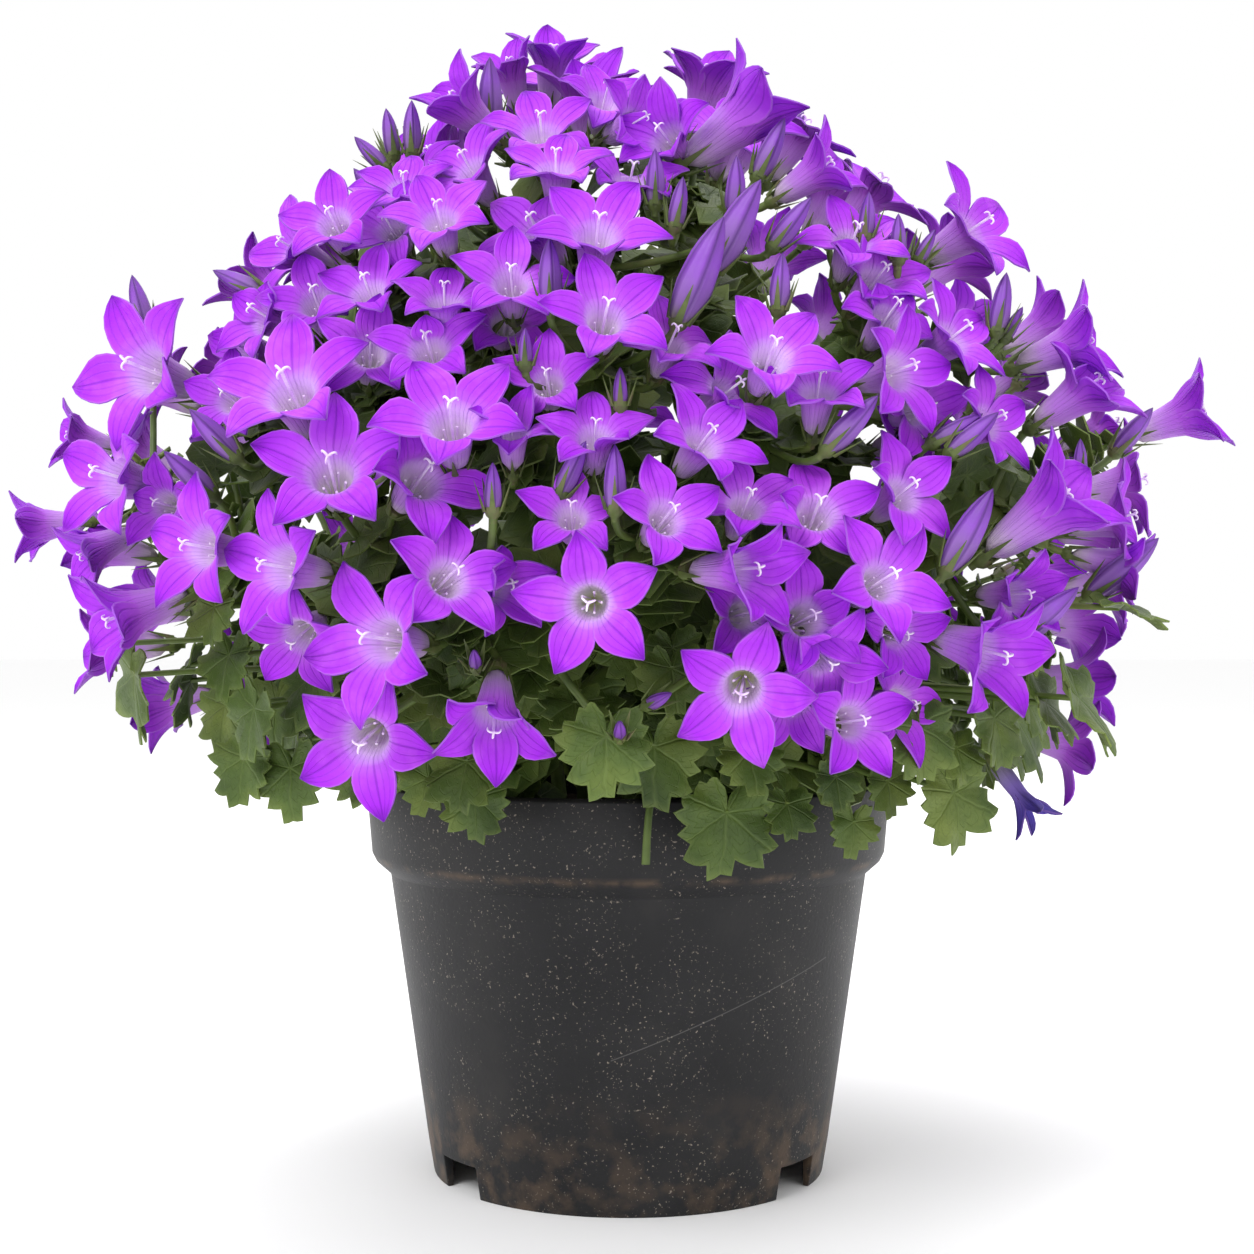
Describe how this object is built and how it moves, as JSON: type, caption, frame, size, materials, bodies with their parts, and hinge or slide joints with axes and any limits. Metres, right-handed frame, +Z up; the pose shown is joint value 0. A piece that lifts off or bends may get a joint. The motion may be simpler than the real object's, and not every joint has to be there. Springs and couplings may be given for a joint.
{
  "type": "potted catharina dalmatian bellflower",
  "caption": "Dome-shaped bellflower in bloom, with violet star and bell flowers, buds and toothed leaves in a round nursery pot.",
  "frame": {"origin": "centre of the pot's footprint, on the surface that it stands on", "axes": "+Z up; -Y is the front, from which the picture was taken; +X to the right"},
  "size_m": [0.3105, 0.2764, 0.282],
  "materials": {
    "pot_plastic": "matt black moulded plastic, faintly dusty",
    "soil": "dark crumbly potting soil",
    "foliage": "matt green leaves and stems, paler at their teeth",
    "petals": "violet petals with a pale throat",
    "withered_petals": "withered blue-violet petals"
  },
  "bodies": {
    "root": {"pot": "pot_plastic", "soil": "soil", "leafy-stem-1": "foliage", "leafy-stem-2": "foliage", "leafy-stem-3": "foliage", "leafy-stem-4": "foliage", "leafy-stem-5": "foliage", "leafy-stem-6": "foliage", "leafy-stem-7": "foliage", "leafy-stem-8": "foliage", "leafy-stem-9": "foliage", "leafy-stem-10": "foliage", "leafy-stem-11": "foliage", "leafy-stem-12": "foliage", "leafy-stem-13": "foliage", "withered-bloom": "withered_petals", "bloom-spray-1": "petals", "bloom-spray-2": "petals", "bloom-spray-3": "petals", "bloom-spray-4": "petals", "bloom-spray-5": "petals", "bloom-spray-6": "petals", "bloom-spray-7": "petals", "bloom-spray-8": "petals", "bloom-spray-9": "petals", "bloom-spray-10": "petals", "bloom-spray-11": "petals", "bloom-spray-12": "petals", "bloom-spray-13": "petals", "bloom-spray-14": "petals", "bloom-spray-15": "petals", "bloom-spray-16": "petals", "bloom-spray-17": "petals", "bloom-spray-18": "petals", "bloom-spray-19": "petals", "bloom-spray-20": "petals", "bloom-spray-21": "petals", "bloom-spray-22": "petals", "bloom-spray-23": "petals", "bloom-spray-24": "petals", "bloom-spray-25": "petals", "bloom-spray-26": "petals", "bloom-spray-27": "petals", "bloom-spray-28": "petals", "bloom-spray-29": "petals", "bloom-spray-30": "petals", "bloom-spray-31": "petals", "bloom-spray-32": "petals", "bloom-spray-33": "petals", "bloom-spray-34": "petals", "bloom-spray-35": "petals", "bloom-spray-36": "petals", "bloom-spray-37": "petals", "bloom-spray-38": "petals", "bloom-spray-39": "petals", "bloom-spray-40": "petals", "bloom-spray-41": "petals"}
  },
  "joints": []
}
